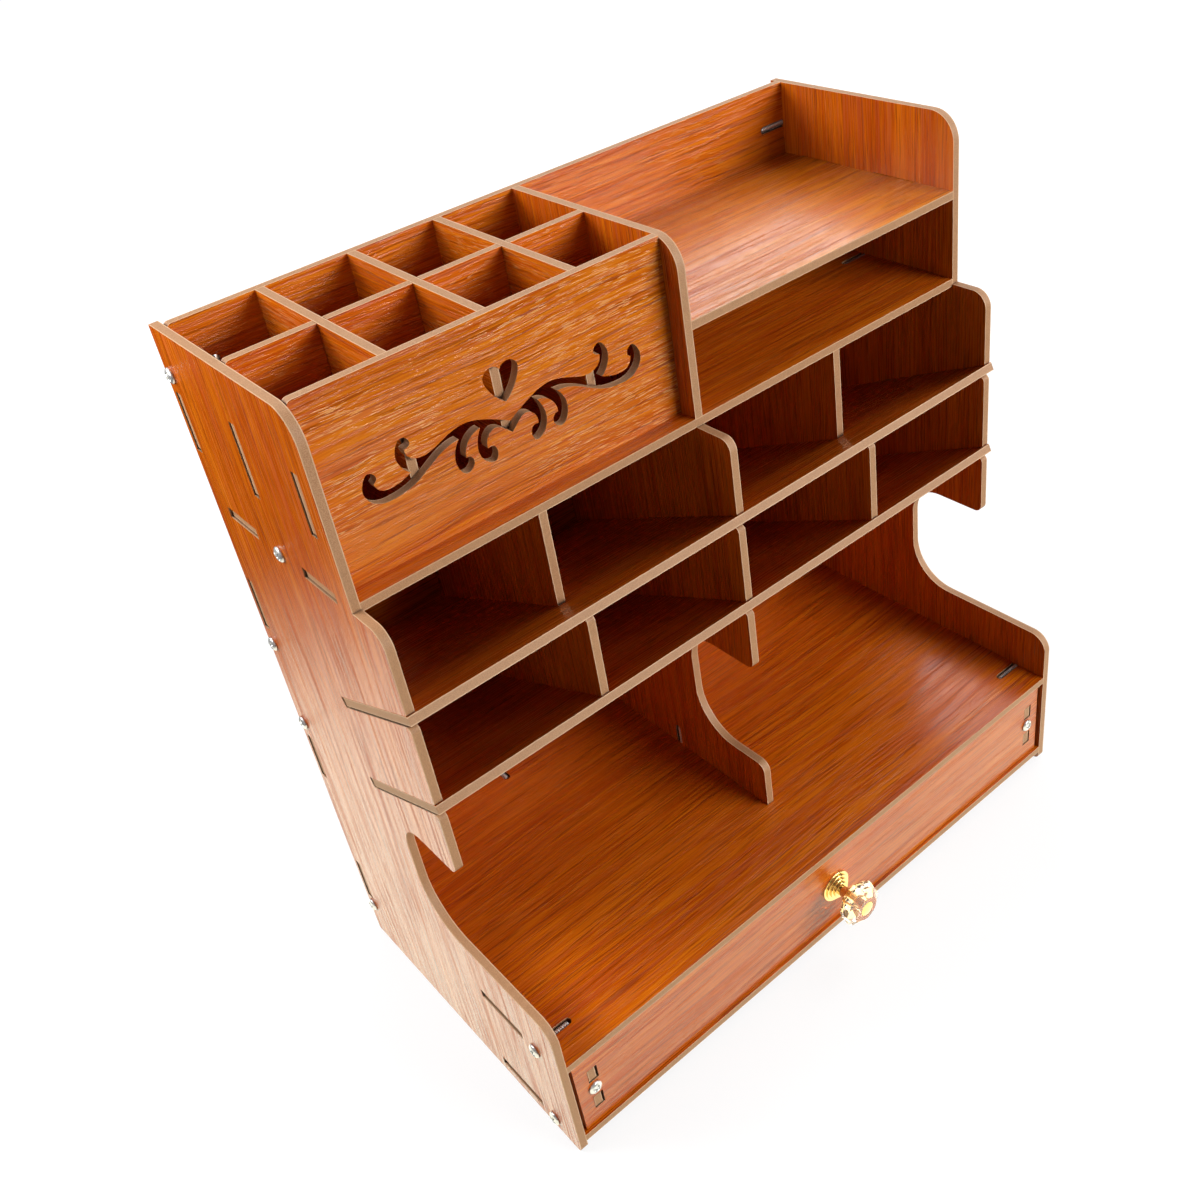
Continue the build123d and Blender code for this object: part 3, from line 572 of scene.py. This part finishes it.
floor_reach = 12.0
floor_colour = (0.18, 0.18, 0.18, 1)
floor_glow = 0.83               # beside the object, where the lamps light the floor too
floor_glow_near = 0.30          # where the glow starts to rise to plain white
floor_glow_far = 1.00
floor_gloss = 2.15              # how bright the floor beside the object is in a gloss
floor_gloss_colour = (1.0, 0.98, 0.80, 1)
floor_gloss_near = 0.28         # where that fades out, from the object's middle
floor_gloss_far = 0.56
floor_gloss_behind = 0.25       # what is left of it behind the object and to its right
floor_gloss_left = (-0.10, -0.18)       # where it rises on the way to the left
floor_gloss_front = (0.02, -0.08)       # and on the way to the front


def area_lamp(name, bearing, height, distance, size, power):
    lamp = bpy.data.lights.new(name, "AREA")
    lamp.shape = "RECTANGLE"
    lamp.size, lamp.size_y = size
    lamp.energy = power
    turn = math.radians(bearing)
    rise = math.radians(height)
    way = Vector((math.sin(turn) * math.cos(rise), -math.cos(turn) * math.cos(rise),
                  math.sin(rise)))
    holder = bpy.data.objects.new(name, lamp)
    holder.location = object_middle + way * distance
    holder.rotation_euler = (-way).to_track_quat("-Z", "Y").to_euler()
    bpy.context.scene.collection.objects.link(holder)


def floor():
    """Pale paper that keeps the shadow and stays white around it."""
    mesh = bpy.data.meshes.new("floor")
    signs = [(-1, -1), (1, -1), (1, 1), (-1, 1)]
    corners = [(x * floor_reach, y * floor_reach, 0) for x, y in signs]
    mesh.from_pydata(corners, [], [(0, 1, 2, 3)])
    sheet = bpy.data.objects.new("floor", mesh)
    bpy.context.scene.collection.objects.link(sheet)
    material, graph, shader = new_material("floor_paper")
    graph.tree.nodes.remove(shader)
    rays = graph.node("ShaderNodeLightPath")
    place = graph.node("ShaderNodeTexCoord").outputs["Object"]
    distance = graph.node("ShaderNodeVectorMath", {0: place}, operation="LENGTH")
    away = distance.outputs["Value"]
    apart = graph.node("ShaderNodeSeparateXYZ", {0: place})
    left = graph.ramp(apart.outputs[0], *floor_gloss_left, floor_gloss_behind, 1.0)
    front = graph.ramp(apart.outputs[1], *floor_gloss_front, floor_gloss_behind, 1.0)
    beside = graph.math("MAXIMUM", left, front)
    mirrored = graph.math("MULTIPLY", rays.outputs["Is Glossy Ray"],
                          graph.ramp(away, floor_gloss_near, floor_gloss_far,
                                     floor_gloss, 0.0))
    mirrored = graph.math("MULTIPLY", mirrored, beside)
    seen = graph.math("MAXIMUM", rays.outputs["Is Camera Ray"],
                      rays.outputs["Is Transmission Ray"])
    open_floor = graph.ramp(away, floor_glow_near, floor_glow_far, floor_glow, 1.0)
    strength = graph.math("ADD", mirrored, graph.math("MULTIPLY", seen, open_floor))
    sheen_free = mix_colour(graph, rays.outputs["Is Glossy Ray"], floor_colour, (0, 0, 0, 1))
    paper = graph.node("ShaderNodeBsdfDiffuse", {"Color": sheen_free})
    tint = mix_colour(graph, rays.outputs["Is Glossy Ray"], (1, 1, 1, 1), floor_gloss_colour)
    glow = graph.node("ShaderNodeEmission", {"Color": tint, "Strength": strength})
    both = graph.node("ShaderNodeAddShader", {0: paper.outputs[0], 1: glow.outputs[0]})
    output = graph.tree.nodes["Material Output"]
    graph.tree.links.new(both.outputs[0], output.inputs["Surface"])
    mesh.materials.append(material)


def world():
    surroundings = bpy.data.worlds.new("studio")
    bpy.context.scene.world = surroundings
    surroundings.use_nodes = True
    graph = Graph(surroundings.node_tree)
    background = surroundings.node_tree.nodes["Background"]
    rays = graph.node("ShaderNodeLightPath")
    seen = graph.math("MAXIMUM", rays.outputs["Is Camera Ray"],
                      rays.outputs["Is Transmission Ray"])
    plain = mix_value(graph, rays.outputs["Is Glossy Ray"], world_light, world_gloss)
    strength = mix_value(graph, seen, plain, 1.0)
    graph.tree.links.new(strength, background.inputs["Strength"])
    background.inputs["Color"].default_value = (1, 1, 1, 1)


def camera():
    data = bpy.data.cameras.new("camera")
    data.sensor_width = camera_sensor
    data.lens = camera_lens
    data.shift_x, data.shift_y = camera_shift
    holder = bpy.data.objects.new("camera", data)
    holder.location = camera_place
    holder.rotation_euler = [math.radians(angle) for angle in camera_turn]
    bpy.context.scene.collection.objects.link(holder)
    bpy.context.scene.camera = holder


# Dressing
dice = random.Random(seed)
laminate = laminate_group()
for through, along, names in board_ways:
    for name in names:
        dress(name, board_material(name, through, along, laminate))
steel = metal_material("polished_steel")
gold = metal_material("polished_gold")
for name, (way, body) in screw_groups.items():
    threaded_screws(name, way, body, steel)
for name in gold_nodes:
    dress(name, gold)
dress("knob_crystal", crystal_material())

camera()
floor()
world()
for name, settings in lamps.items():
    area_lamp(name, *settings)
bpy.context.scene.view_settings.view_transform = "Standard"
